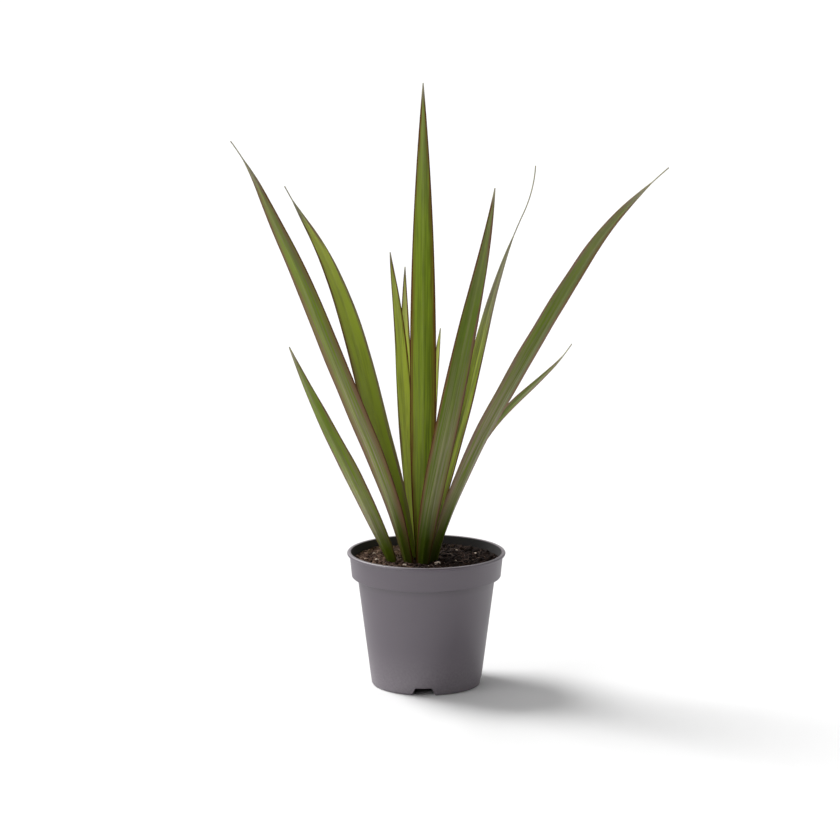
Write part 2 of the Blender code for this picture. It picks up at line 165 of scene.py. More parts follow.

# Leaves. Angles are in degrees from upright, read at STATIONS along the leaf: right is towards +X, and
# back, read at the root, middle and tip, is towards +Y. The outer face looks towards the compass angle
# facing, at the root and at the tip, where 0 is +X and 90 is +Y. Root, length and width are in millimetres.
# The blade narrows to its tip at the share of its length given by ends, and goes on from there as a dry
# thread. A high taper keeps it wide for longer. The two halves are folded back along the rib by fold degrees.
# The rest is its tone: its own colours, with painted light and shade laid in. Yellow says how far it goes to
# the young colour, at the root and at the tip; that colour also paints the glow of backlit leaves. The next
# four are for the halves before and after the rib: deep and grey say how far they go to the deep green and to
# the wax and sheen, and so also paint shade on a half turned from the light and a painted sheen on a lit
# half, band is the width of the margin in millimetres, and red how far the margin goes from mauve to brick.
# Foot says how dark the base is, painted shade where the leaf bases crowd over a deeper green, and fade is
# the share of the leaf's length where it starts to dry.
STATIONS = (0.0, 0.15, 0.3, 0.45, 0.6, 0.75, 0.88, 1.0)
Leaf = namedtuple(
    "Leaf", "root right back length width ends taper facing fold yellow deep grey band red foot fade")
LEAVES = {
    "leaf_left_long": Leaf(
        (-13.1, -4.0), (-12.7, -17.2, -21.5, -20.5, -20.1, -23.5, -22.8, -35), (-8, -12, -16),
        366, 17, 0.955, 2.4, (236, 266), 24,
        (0.0, 0.1), (-0.3, 0.3), (0.65, 0.4), (8, 5), (0.5, 0.7), 0.8, 0.9),
    "leaf_left_back": Leaf(
        (-12.8, 7.5), (-9, -14, -16, -13.3, -17, -23, -32.5, -30), (8, 14, 20),
        312, 20, 0.96, 2, (125, 112), 16,
        (0.3, 1.0), (-0.6, -0.5), (0.0, 0.25), (4, 5), (0.1, 0.8), 0.1, 0.9),
    "leaf_left_short": Leaf(
        (-25.4, -1.0), (-20.5, -23.5, -24, -25, -25, -23.5, -22.5, -21.5), (-8, -10, -12),
        195, 17, 1.0, 1.6, (230, 238), 22,
        (0.1, 0.0), (0.1, 0.2), (0.6, 0.2), (3, 3), (0.3, 0.5), 0.5, 0.9),
    "leaf_centre": Leaf(
        (-2.5, 1.4), (0, 0, 0, 0, 0, 0, 0, 0), (-2, -3, -3),
        373, 20.6, 1.0, 2, (-90, -90), 20,
        (0.25, 0.05), (-0.35, 0.1), (0.12, 0.0), (4, 6), (1.0, 1.0), 0.0, 0.95),
    "leaf_front": Leaf(
        (-3.2, -7.0), (3.5, 9.2, 11.7, 11.1, 11.2, 11.5, 9.5, 6.5), (-10, -14, -16),
        314, 17.6, 1.0, 1.8, (-95, -75), 20,
        (0.0, 0.0), (0.9, 0.25), (0.15, 0.5), (3, 4), (0.8, 0.6), 0.85, 0.95),
    "leaf_right_thin": Leaf(
        (0.1, 7.5), (11, 13.6, 16, 13.5, 14.5, 19.5, 26, 4), (8, 14, 18),
        322, 12, 0.82, 1.5, (60, 70), 18,
        (0.5, 1.0), (0.2, -0.4), (0.1, 0.3), (3, 1.5), (0.9, 0.0), 0.5, 0.55),
    "leaf_right_long": Leaf(
        (4.0, -0.4), (16.5, 20.7, 25.2, 28.2, 28.3, 30.4, 41.8, 48), (-6, -10, -14),
        365, 20.9, 0.955, 2.3, (-32, -58), 24,
        (0.0, 0.0), (0.3, 0.9), (0.6, 0.2), (3, 12), (0.2, 1.0), 0.8, 0.9),
    "leaf_right_short": Leaf(
        (5.9, 9.2), (15.5, 18.2, 21.3, 27.3, 41.3, 48.3, 46, 34), (6, 8, 10),
        205, 10, 0.95, 2.2, (25, 35), 22,
        (0.0, 0.0), (0.8, 0.8), (0.5, 0.5), (2, 2), (0.3, 0.3), 0.5, 0.95),
    "leaf_back_left": Leaf(
        (-7.5, 14.0), (-3, -5.3, -5.8, -4, -3.5, -6, -8.7, -7), (22, 30, 34),
        260, 12.5, 1.0, 2, (112, 100), 18,
        (0.8, 0.9), (-0.3, -0.5), (0.0, 0.2), (3, 1.5), (1.0, 0.5), 0.0, 0.95),
    "leaf_back_middle": Leaf(
        (-6.5, 18.2), (-5, -5, -4.5, -3, -2, -1, -0.5, 1), (24, 32, 36),
        250, 11, 1.0, 2, (95, 90), 18,
        (0.9, 1.0), (-0.5, -0.5), (0.6, 0.6), (2, 2), (1.0, 1.0), 0.0, 0.95),
    "leaf_back_right": Leaf(
        (-0.6, 13.5), (1.2, 1.6, 2.6, 3.2, 4.7, 6.5, 7.5, 8), (28, 36, 40),
        204, 9.5, 1.0, 2, (85, 80), 18,
        (1.0, 1.0), (-1.0, -1.0), (0.2, 0.2), (1, 1), (0.3, 0.3), 0.0, 0.95),
}
CROWN_TOP = 88 * MM
CUT_STEPS = 60
# Width: shares of a leaf's own at its root, and of its length where it is widest, and millimetres at the tip
ROOT_SHARE = 0.5
WIDEST_FROM = 0.30
WIDEST_TO = 0.40
TIP_WIDTH = 0.8
FOLD_LEFT = 0.45  # of the fold, at the tip
CUP_POWER = 1.12  # bends each half of the blade a little
# Thickness: it falls from the rib to the edge, from the rib's root to its tip, and quickly above the base
EDGE_THICKNESS = 0.4 * MM
RIB_THICKNESS = 1.3 * MM
TIP_THICKNESS = 0.6 * MM
ROOT_THICKNESS = 2.4 * MM
RIB_POWER = 1.4
ROOT_LENGTH = 0.16
ROOT_POWER = 1.5
ROOT_EDGE = 2  # how much thicker the edge is at the root
KEEL = 0.35 * MM  # height of the raised rib, its half width, and how it sinks towards the tip
KEEL_WIDTH = 0.9 * MM
KEEL_POWER = 0.5
WAVE_LENGTH = 34 * MM  # along the margin, the waves from rib to margin, and the half width with full waves
WAVE_ACROSS = 0.7
WAVE_WIDTH = 5 * MM
OWN_WAVE = 7.3  # give every leaf waves and streaks of its own
OWN_STREAKS = 11.0
# Shares of the wax and painted sheen and of the margin's width, by the share of the leaf's length
WAX_AND_SHEEN_ALONG = (0.08, 0.18, 0.35, 0.5, 0.7), (0.0, 1.0, 1.0, 0.55, 0.3)
BAND_ALONG = (0.5, 0.8), (1.0, 0.5)

# Camera, fitted to the ellipse of the lip and the edges of the pot
CAMERA_PLACE = (-4.82 * MM, -2350.82 * MM, 631.58 * MM)
CAMERA_DOWN = math.radians(10.291)
FLOOR_REACH = 20.0  # metres from the pot to each side of the paper

# Sockets and settings of shader nodes. A MapRange takes its value, the two ends that it comes from and the
# two that it goes to, in this order.
FACTOR, A, B = 0, 6, 7
COLOUR = {"data_type": "RGBA"}
SMOOTH = {"interpolation_type": "SMOOTHSTEP"}
ADD = {"operation": "ADD"}
ADD_TO_ONE = {"operation": "ADD", "use_clamp": True}
MULTIPLY = {"operation": "MULTIPLY"}


def linear(code):
    """A colour from its sRGB hex code, as linear red, green and blue."""
    parts = [((code >> shift) & 255) / 255 for shift in (16, 8, 0)]
    return tuple(c / 12.92 if c <= 0.04045 else ((c + 0.055) / 1.055) ** 2.4 for c in parts)


def size_of(node):
    """Size of a solid along X, Y and Z."""
    low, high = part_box(node)
    return [high[i] - low[i] for i in range(3)]


def colour_setting(name, description, code):
    return FloatVectorProperty(
        name=name, description=description, default=linear(code), subtype="COLOR", size=3, min=0.0, max=1.0)


def length_setting(name, description, default, most):
    return FloatProperty(
        name=name, description=description, default=default, min=0.0, max=most,
        subtype="DISTANCE", unit="LENGTH")


def count_setting(name, description, default, least, most):
    return IntProperty(name=name, description=description, default=default, min=least, max=most)


def strength_setting(name, description, default):
    return FloatProperty(name=name, description=description, default=default, min=0.0)


class PotSettings(bpy.types.PropertyGroup):
    lip_diameter: length_setting(
        "Lip diameter", "Across the outside of the rolled lip", size_of("pot")[0], 1.0)
    height: length_setting("Height", "From the ground to the top of the lip", size_of("pot")[2], 1.0)
    wall: length_setting("Wall", "Thickness of the plastic", 1.3 * MM, 0.01)
    steps: count_setting("Steps", "Flat steps round the pot", 192, 24, 512)
    plastic: colour_setting("Plastic", "Colour of the moulded plastic", 0x4F4650)
    # The dust colour also paints the light bounced onto the foot and the highlight on the lip
    dust_and_light: colour_setting("Dust", "Colour of the dry dust on the foot", 0x8C858A)
    # Painted shade: the dark colour of the shaded inner wall and of the band's shadow
    stain: colour_setting("Stain", "Colour of the inside, stained by peat", 0x242122)


class SoilSettings(bpy.types.PropertyGroup):
    crumbs: count_setting("Crumbs", "Number of fine crumbs", 5200, 0, 9000)
    lumps: count_setting("Lumps", "Number of larger crumbs", 1500, 0, 2400)
    fibres: count_setting("Fibres", "Number of coir fibres", 190, 0, 2000)
    chips: count_setting("Bark chips", "Number of flat bark chips", 150, 0, 2000)
    dark: colour_setting("Dark peat", "Colour of the moist peat", 0x1D130F)
    brown: colour_setting("Brown peat", "Colour of the drier crumbs", 0x4C362A)
    tan: colour_setting("Fibre", "Colour of the coir fibres and the palest crumbs", 0x7A6353)
    perlite: colour_setting("Perlite", "Colour of the perlite grains", 0xCDBCAC)


class LeafSettings(bpy.types.PropertyGroup):
    rows: count_setting("Rows", "Steps along each leaf", 150, 20, 400)
    columns: count_setting("Columns", "Steps across each leaf, an even number", 24, 4, 48)
    wave: length_setting("Wave", "How far the margins wave in and out of the blade", 0.7 * MM, 0.01)
    green: colour_setting("Blade", "Colour of the grown blade", 0x66800A)
    # The young green is made light enough to also paint the glow of backlit leaves
    young_and_glow: colour_setting("Young blade", "Colour of the young leaves", 0xBCC850)
    # The deep green also paints shade on the halves turned from the light
    deep: colour_setting("Deep green", "Colour of the deep green streaks and halves", 0x485C00)
    # Painted shade at the crowded leaf bases, over their deeper green
    foot: colour_setting("Foot", "Colour of the dark leaf bases", 0x2E3A08)
    # The waxy bloom is also a painted sheen on the halves that face the light
    wax_and_sheen: colour_setting("Bloom", "Colour of the waxy bloom on the outer leaves", 0x9A8E78)
    # The pale rib line is partly a painted highlight where the fold catches the light
    rib: colour_setting("Rib", "Colour of the pale line along the rib", 0xA0A860)
    mauve: colour_setting("Mauve margin", "Colour of the margin of an outer leaf", 0x806A60)
    brick: colour_setting("Brick margin", "Colour of the margin of an inner leaf", 0x6A4020)
    edge: colour_setting("Edge", "Colour of the maroon line at the very edge", 0x462010)
    dry: colour_setting("Dry tip", "Colour of the dried tips", 0x908C78)


class StageSettings(bpy.types.PropertyGroup):
    key: strength_setting("Key light", "Strength of the soft light from the upper left", 3.0)
    side: strength_setting("Side light", "Strength of the wide light on the left", 1.5)
    card: strength_setting("Card", "Strength of the white card on the right", 0.7)
    front: strength_setting("Front", "Strength of the dim room behind the camera", 0.05)
    back: strength_setting("Back", "Strength of the white room behind the plant", 0.57)
    floor: colour_setting("Floor", "Colour of the paper floor", 0xF4F4F4)
    lens: FloatProperty(
        name="Lens", description="Focal length of the camera", default=135.0, min=10.0,
        subtype="DISTANCE_CAMERA")


def fill(tree, made, inputs):
    """Gives inputs of a node their values or sources, by name or number, or in order. A node as a source
    gives its first output in use."""
    for name, value in inputs.items() if isinstance(inputs, dict) else enumerate(inputs):
        if isinstance(value, bpy.types.Node):
            value = next(output for output in value.outputs if output.enabled)
        if isinstance(value, bpy.types.NodeSocket):
            tree.links.new(value, made.inputs[name])
        else:
            made.inputs[name].default_value = value


def node(tree, kind, settings=None, inputs=()):
    """Adds a shader node with its settings and what goes into it."""
    made = tree.nodes.new("ShaderNode" + kind)
    for name, value in (settings or {}).items():
        setattr(made, name, value)
    fill(tree, made, inputs)
    return made


def new_material(name):
    """A material, its node tree and its shader."""
    material = bpy.data.materials.new(name)
    material.use_nodes = True
    tree = material.node_tree
    return material, tree, tree.nodes["Principled BSDF"]


def shaded(colour):
    """A colour setting as a colour socket takes it."""
    return (*colour, 1.0)


def moulded_polypropylene(settings):
    """Injection-moulded polypropylene with a fine spark-eroded grain: a satin mauve-grey with soft
    highlights, hardly uneven and dusty at the foot, where the dust also paints the light bounced from the
    floor. A painted highlight lies along the top of the lip, with painted shade on the inside and a painted
    shadow below the band."""
    material, tree, shader = new_material("moulded_polypropylene")
    place = node(tree, "TexCoord").outputs["Object"]
    height = node(tree, "SeparateXYZ", inputs={"Vector": place}).outputs["Z"]
    stain, worn = (node(tree, "Attribute", {"attribute_name": name}).outputs["Fac"]
                   for name in ("stain", "worn"))
    # Clouds 30 mm across, from recycled plastic that has flowed
    clouds = node(tree, "TexNoise", inputs={"Vector": place, "Scale": 1 / 0.03, "Detail": 2.0})
    cloudy = node(tree, "MapRange", inputs=(clouds, 0.3, 0.7, 0.0, 0.04))
    rough = node(tree, "MapRange", inputs=(clouds, 0.3, 0.7, 0.43, 0.5))
    # Dust in specks 1.5 mm across, up to 40 mm above the ground; it is also painted light, paling the foot as
    # light bounced from the floor would
    specks = node(tree, "TexNoise", inputs={"Vector": place, "Scale": 1 / 0.0015, "Detail": 4.0})
    low = node(tree, "MapRange", SMOOTH, (height, 0.04, 0.0, 0.0, 0.5))
    dust_and_light = node(tree, "Math", MULTIPLY, (low, specks))
    dusty_and_lit = node(tree, "Math", ADD, (dust_and_light, cloudy))
    # Over the clean plastic lie the dust, which also paints bounced light on the foot, the painted shade of
    # the inside and of the band's shadow, and the painted highlight on the lip, each where its share says
    colour = shaded(settings.plastic)
    for share, layer in ((dusty_and_lit, settings.dust_and_light), (stain, settings.stain), (worn, settings.dust_and_light)):
        colour = node(tree, "Mix", COLOUR, {FACTOR: share, A: colour, B: shaded(layer)})
    # The gloss is taken away where the shade is painted
    dull = node(tree, "Math", {"operation": "MAXIMUM"}, (rough, stain))
    # The moulded grain is about 0.1 mm, drawn at 0.5 mm so that it shows
    grain = node(tree, "TexNoise", inputs={"Vector": place, "Scale": 1 / 0.0005, "Detail": 2.0})
    bump = node(tree, "Bump", inputs={"Height": grain, "Strength": 0.18, "Distance": 0.05 * MM})
    fill(tree, shader, {
        "Base Color": colour, "Roughness": dull, "Normal": bump, "IOR": 1.49, "Specular IOR Level": 1.0})
    return material


def peat_compost(settings):
    """Sieved peat and coir compost, moist: matt dark brown lumps, each crumb a shade of its own, with painted
    light on the left and painted shade on the right.
    """
    material, tree, shader = new_material("peat_compost")
    place = node(tree, "TexCoord").outputs["Object"]
    shade = node(tree, "Attribute", {"attribute_name": "shade"}).outputs["Fac"]
    # Damp patches 12 mm across, and grit 0.7 mm across
    damp = node(tree, "TexNoise", inputs={"Vector": place, "Scale": 1 / 0.012, "Detail": 3.0})
    grit = node(tree, "TexNoise", inputs={"Vector": place, "Scale": 1 / 0.0007, "Detail": 4.0})
    dry = node(tree, "MapRange", inputs=(damp, 0.35, 0.65, -0.15, 0.2))
    # Painted light and shade: lighter on the left, where the light falls, and darker on the right, in the
    # shade
    across = node(tree, "SeparateXYZ", inputs={"Vector": place}).outputs["X"]
    painted_light_across = node(tree, "MapRange", SMOOTH, (across, -0.045, 0.015, 0.65, -0.25))
    patchy = node(tree, "Math", ADD, (dry, painted_light_across))
    light = node(tree, "Math", ADD, (shade, patchy))
    gritty = node(tree, "MapRange", inputs=(grit, 0.3, 0.7, -0.2, 0.2))
    brown = node(tree, "Math", ADD_TO_ONE, (light, gritty))
    # The lightest crumbs are as pale as coir
    pale = node(tree, "MapRange", inputs=(light, 0.75, 1.1, 0.0, 0.8))
    colour = shaded(settings.dark)
    for share, layer in ((brown, settings.brown), (pale, settings.tan)):
        colour = node(tree, "Mix", COLOUR, {FACTOR: share, A: colour, B: shaded(layer)})
    bump = node(tree, "Bump", inputs={"Height": grit, "Strength": 0.8, "Distance": 0.3 * MM})
    fill(tree, shader, {
        "Base Color": colour, "Roughness": 0.92, "Normal": bump, "Specular IOR Level": 0.25})
    return material


def coir_fibre(settings):
    """Loose coconut fibre: dry tan threads with a faint gloss, some of them brown with damp."""
    material, tree, shader = new_material("coir_fibre")
    place = node(tree, "TexCoord").outputs["Object"]
    shade = node(tree, "Attribute", {"attribute_name": "shade"}).outputs["Fac"]
    colour = node(tree, "Mix", COLOUR, {FACTOR: shade, A: shaded(settings.brown), B: shaded(settings.tan)})
    # Each fibre is roughened at 0.4 mm
    hairs = node(tree, "TexNoise", inputs={"Vector": place, "Scale": 1 / 0.0004})
    bump = node(tree, "Bump", inputs={"Height": hairs, "Strength": 0.5, "Distance": 0.1 * MM})
    fill(tree, shader, {"Base Color": colour, "Roughness": 0.6, "Normal": bump})
    return material


def expanded_perlite(settings):
    """Perlite, volcanic glass popped by heat: off-white foam grains, dull and pitted, smudged by the peat."""
    material, tree, shader = new_material("expanded_perlite")
    place = node(tree, "TexCoord").outputs["Object"]
    # Pits 0.5 mm across, and smudges 2 mm across
    pits = node(tree, "TexVoronoi", inputs={"Vector": place, "Scale": 1 / 0.0005})
    smudges = node(tree, "TexNoise", inputs={"Vector": place, "Scale": 1 / 0.002, "Detail": 3.0})
    smudged = node(tree, "MapRange", inputs=(smudges, 0.5, 0.75, 0.0, 0.6))
    colour = node(tree, "Mix", COLOUR, {
        FACTOR: smudged, A: shaded(settings.perlite), B: shaded(settings.tan)})
    bump = node(tree, "Bump", inputs={"Height": pits, "Strength": 0.7, "Distance": 0.2 * MM})
    fill(tree, shader, {"Base Color": colour, "Roughness": 0.85, "Normal": bump})
    return material


def young_cane_bark(settings):
    """The bark of a young cane: dull brown, ringed by the scars of old leaves."""
    material, tree, shader = new_material("young_cane_bark")
    place = node(tree, "TexCoord").outputs["Object"]
    # The scars are 2 mm apart: a wave of scale 1 comes every 0.314 m
    rings = node(tree, "TexWave", {"bands_direction": "Z"}, {
        "Vector": place, "Scale": 0.314 / 0.002, "Distortion": 3.0, "Detail": 3.0}).outputs["Fac"]
    colour = node(tree, "Mix", COLOUR, {FACTOR: rings, A: shaded(settings.dark), B: shaded(settings.brown)})
    bump = node(tree, "Bump", inputs={"Height": rings, "Strength": 0.6, "Distance": 0.3 * MM})
    fill(tree, shader, {"Base Color": colour, "Roughness": 0.8, "Normal": bump})
    return material


def dragon_tree_leaf(settings):
    """A living leathery leaf under a waxy skin: green in fine parallel streaks, with a faint pale rib that is
    partly a painted highlight, a mauve or brick-red margin that melts into the green, and a maroon edge. Wax
    and a painted sheen grey the outer leaves and every tip, and the tips dry. Painted shade darkens the bases
    and the halves turned from the light, and the young colour also paints the glow of backlit leaves."""
    material, tree, shader = new_material("dragon_tree_leaf")
    stored = {name: node(tree, "Attribute", {"attribute_name": name}).outputs
              for name in ("leaf_mm", "tone", "skin", "edge_mm", "along", "foot")}
    edge, along, foot = (stored[name]["Fac"] for name in ("edge_mm", "along", "foot"))
    # Millimetres across and along the leaf, then how young, deep and waxy it is, which also holds painted
    # light, shade and sheen, then its margin's width in millimetres and how red it is, and where the tip
    # starts to dry
    leaf, tone, skin = (node(tree, "SeparateXYZ", inputs=(stored[name]["Vector"],)).outputs
                        for name in ("leaf_mm", "tone", "skin"))

    def streaks(across, length):
        """Noise drawn out along the leaf, by its size across and along in millimetres."""
        drawn = node(tree, "Mapping", inputs={
            "Vector": stored["leaf_mm"]["Vector"], "Scale": (1 / across, 1 / length, 1.0)})
        return node(tree, "TexNoise", inputs={"Vector": drawn, "Scale": 1.0, "Detail": 3.0})

    # Veins are 0.4 mm apart, drawn at 1.1 mm so that they show, and run for some 60 mm
    veins = streaks(1.1, 60)
    # Slow changes of tone, 4 mm across and 45 mm along
    slow = streaks(4, 45)
    fine = node(tree, "MapRange", SMOOTH, (veins, 0.4, 0.6, 0.0, 0.5))
    broad = node(tree, "MapRange", SMOOTH, (slow, 0.4, 0.6, 0.0, 0.3))
    uneven = node(tree, "Math", ADD_TO_ONE, (fine, broad))
    # The deep share also paints shade on a half turned from the light, and a negative one clears the deep
    # streaks from a lit half
    deep = node(tree, "Math", ADD_TO_ONE, (uneven, tone["Y"]))
    # The pale line is 2 mm wide on the rib, partly a painted highlight where the fold catches the light
    off_rib = node(tree, "Math", {"operation": "ABSOLUTE"}, (leaf["X"],))
    on_rib = node(tree, "MapRange", SMOOTH, (off_rib, 1.4, 0.2, 0.0, 0.15))
    # The lowest 75 mm go over to dark green: painted shade where the leaf bases crowd, over their deeper
    # green
    low = node(tree, "MapRange", SMOOTH, (leaf["Y"], 75.0, 15.0, 0.0, 1.0))
    dark = node(tree, "Math", MULTIPLY, (foot, low))
    # The wax and a painted sheen lie in streaks, and thicken towards the tip
    streaky = node(tree, "MapRange", SMOOTH, (veins, 0.35, 0.65, 0.35, 1.65))
    streaked_wax_and_sheen = node(tree, "Math", MULTIPLY, (tone["Z"], streaky))
    outer = node(tree, "MapRange", SMOOTH, (along, 0.6, 1.0, 0.0, 0.25))
    wax_and_sheen_share = node(tree, "Math", ADD_TO_ONE, (streaked_wax_and_sheen, outer))
    # The margin's inner side wanders by a millimetre along the veins, and it fades in the lowest 50 mm
    wander = node(tree, "MapRange", SMOOTH, (veins, 0.3, 0.7, -1.0, 1.0))
    inside = node(tree, "Math", {"operation": "SUBTRACT"}, (edge, wander))
    near_edge = node(tree, "MapRange", SMOOTH, (inside, skin["X"], 0.0, 0.0, 0.9))
    above_foot = node(tree, "MapRange", SMOOTH, (leaf["Y"], 10.0, 50.0, 0.2, 1.0))
    in_margin = node(tree, "Math", MULTIPLY, (near_edge, above_foot))
    # The edge itself is a line 1.2 mm wide, and strongest along a brick-red margin
    at_edge = node(tree, "MapRange", SMOOTH, (edge, 1.2, 0.3, 0.0, 1.0))
    redder = node(tree, "MapRange", SMOOTH, (skin["Y"], 0.0, 1.0, 0.15, 0.9))
    lined = node(tree, "Math", MULTIPLY, (at_edge, redder))
    dried = node(tree, "MapRange", SMOOTH, (along, skin["Z"], 0.99, 0.0, 0.85))
    # Over the grown blade lie the young green and the rest in this order, each where its share says
    margin = node(tree, "Mix", COLOUR, {
        FACTOR: skin["Y"], A: shaded(settings.mauve), B: shaded(settings.brick)})
    blade = shaded(settings.green)
    for share, layer in (
            (tone["X"], shaded(settings.young_and_glow)), (deep, shaded(settings.deep)),
            (on_rib, shaded(settings.rib)), (dark, shaded(settings.foot)), (wax_and_sheen_share, shaded(settings.wax_and_sheen)),
            (in_margin, margin), (lined, shaded(settings.edge)), (dried, shaded(settings.dry))):
        blade = node(tree, "Mix", COLOUR, {FACTOR: share, A: blade, B: layer})
    rough = node(tree, "MapRange", inputs=(veins, 0.3, 0.7, 0.36, 0.5))
    bump = node(tree, "Bump", inputs={"Height": veins, "Strength": 0.5, "Distance": 0.15 * MM})
    fill(tree, shader, {
        "Base Color": blade, "Roughness": rough, "Normal": bump, "Specular IOR Level": 0.06,
        "Subsurface Weight": 0.25, "Subsurface Radius": (0.9, 1.0, 0.1), "Subsurface Scale": 1.2 * MM})
    return material


def studio_paper(settings):
    """A roll of matt white background paper: it shows nothing but the light and the soft shadow on it."""
    material, tree, shader = new_material("studio_paper")
    place = node(tree, "TexCoord").outputs["Object"]
    # The paper's felt is 1 mm across
    felt = node(tree, "TexNoise", inputs={"Vector": place, "Scale": 1 / 0.001})
    bump = node(tree, "Bump", inputs={"Height": felt, "Strength": 0.05, "Distance": 0.05 * MM})
    fill(tree, shader, {
        "Base Color": shaded(settings.floor), "Roughness": 0.95, "Normal": bump, "Specular IOR Level": 0.1})
    return material


def new_piece(name, mesh, material, node_name=None):
    """An object in the scene that rides on the plant, with its material and what it stands for."""
    obj = bpy.data.objects.new(name, mesh)
    bpy.context.scene.collection.objects.link(obj)
    mesh.materials.clear()
    mesh.materials.append(material)
    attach(obj, "root")
    if node_name:
        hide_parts(node_name)
    return obj


def smooth(mesh, sharp=None):
    """Shades a mesh smooth, apart from the edges that turn by more than the angle sharp."""
    mesh.shade_smooth()
    if sharp:
        mesh.set_sharp_from_angle(angle=sharp)


def add_attribute(mesh, name, kind, values):
    """Stores one number or vector for each vertex."""
    made = mesh.attributes.new(name, kind, "POINT")
    made.data.foreach_set("vector" if kind == "FLOAT_VECTOR" else "value", np.asarray(values, "f").ravel())


def closed_mesh(name, verts, faces):
    """A mesh with all its faces pointing out."""
    mesh = bpy.data.meshes.new(name)
    mesh.from_pydata(verts, [], faces)
    bm = bmesh.new()
    bm.from_mesh(mesh)
    bmesh.ops.recalc_face_normals(bm, faces=bm.faces)
    bm.to_mesh(mesh)
    bm.free()
    return mesh


def arc(centre, radius, start, end, steps):
    """Points (x, z) on an arc from one angle to another in degrees, in so many steps."""
    angles = [math.radians(start + (end - start) * i / steps) for i in range(steps + 1)]
    return [(centre[0] + radius * math.cos(a), centre[1] + radius * math.sin(a)) for a in angles]


def body_radius(z):
    """Outer radius of the tapered body."""
    return BODY_FOOT_RADIUS + (BODY_TOP_RADIUS - BODY_FOOT_RADIUS) * z / BAND_FOOT


def band_radius(z, height):
    """Outer radius of the band below the lip."""
    return BAND_FOOT_RADIUS + (BAND_TOP_RADIUS - BAND_FOOT_RADIUS) * (z - BAND_FOOT) / (height - BAND_FOOT)


def pot_profile(settings):
    """Half section of the pot: out along the inside of the base, up the inner wall and down the outside."""
    height, wall = settings.height, settings.wall
    base_top = BASE_RISE + wall
    shelf_top = BAND_FOOT + wall
    lip = settings.lip_diameter / 2 - LIP_BEAD
    inner_foot = body_radius(base_top) - wall - INNER_ROUND
    corner = (BAND_FOOT_RADIUS - BAND_CORNER, BAND_FOOT + BAND_CORNER)
    foot = (body_radius(FOOT_ROUND) - FOOT_ROUND, FOOT_ROUND)
    below_lip = height - LIP_DEPTH
    inner_top = band_radius(height, height) - wall
    points = [(0.0, base_top)]
    points += arc((inner_foot, base_top + INNER_ROUND), INNER_ROUND, -90, 0, 8)
    points += arc((body_radius(shelf_top) - wall + STEP_FILLET, shelf_top - STEP_FILLET),
                  STEP_FILLET, 180, 90, 5)
    points += arc((band_radius(shelf_top, height) - wall - STEP_FILLET, shelf_top + STEP_FILLET),
                  STEP_FILLET, -90, 0, 5)
    points += arc((inner_top + wall / 2, height - wall / 2), wall / 2, 180, 90, 6)
    points += arc((lip, height - LIP_BEAD), LIP_BEAD, 90, -120, 20)
    points += [(band_radius(below_lip, height), below_lip)]
    points += arc(corner, BAND_CORNER, 0, -90, 8)
    points += arc((body_radius(BAND_FOOT) + STEP_FILLET, BAND_FOOT - STEP_FILLET), STEP_FILLET, 90, 180, 5)
    # Below this ring the band's painted shadow has faded out
    points += [(body_radius(BAND_FOOT - BAND_SHADOW_DEPTH), BAND_FOOT - BAND_SHADOW_DEPTH)]
    points += arc(foot, FOOT_ROUND, 0, -90, 10)
    points += [(foot[0] - FOOT_WIDTH, 0.0), (foot[0] - FOOT_WIDTH - FOOT_SLOPE, BASE_RISE)]
    points += [(CENTRE_FOOT_RADIUS + FOOT_SLOPE, BASE_RISE), (CENTRE_FOOT_RADIUS, 0.0), (0.0, 0.0)]
    return points


def painted_shade_share(place, settings):
    """How much painted shade darkens the plastic: wholly inside above the shelf, where the wall lies in
    shade, and partly in the corner below the band, as the band's painted shadow.
    """
    radius = place.xy.length
    if place.z > BAND_FOOT and radius < band_radius(place.z, settings.height) - settings.wall / 2:
        return 1.0
    # The band's shadow is painted in the corner below it
    in_band_shadow = abs(place.z - BAND_FOOT + STEP_FILLET) < BAND_SHADOW_REACH
    return BAND_SHADOW if in_band_shadow and radius > body_radius(place.z) - settings.wall / 2 else 0.0


def turned_mesh(name, profile, steps):
    """A closed mesh turned about Z from a half section that ends on the axis at both ends."""
    rings = profile[1:-1]
    verts = [(0.0, 0.0, profile[0][1]), (0.0, 0.0, profile[-1][1])]
    for radius, z in rings:
        for i in range(steps):
            angle = 2 * math.pi * i / steps
            verts.append((radius * math.cos(angle), radius * math.sin(angle), z))
    last = 2 + (len(rings) - 1) * steps
    faces = []
    for i in range(steps):
        j = (i + 1) % steps
        faces.append((0, 2 + i, 2 + j))
        faces.append((1, last + j, last + i))
        for ring in range(len(rings) - 1):
            k = 2 + ring * steps
            faces.append((k + i, k + steps + i, k + steps + j, k + j))
    return closed_mesh(name, verts, faces)


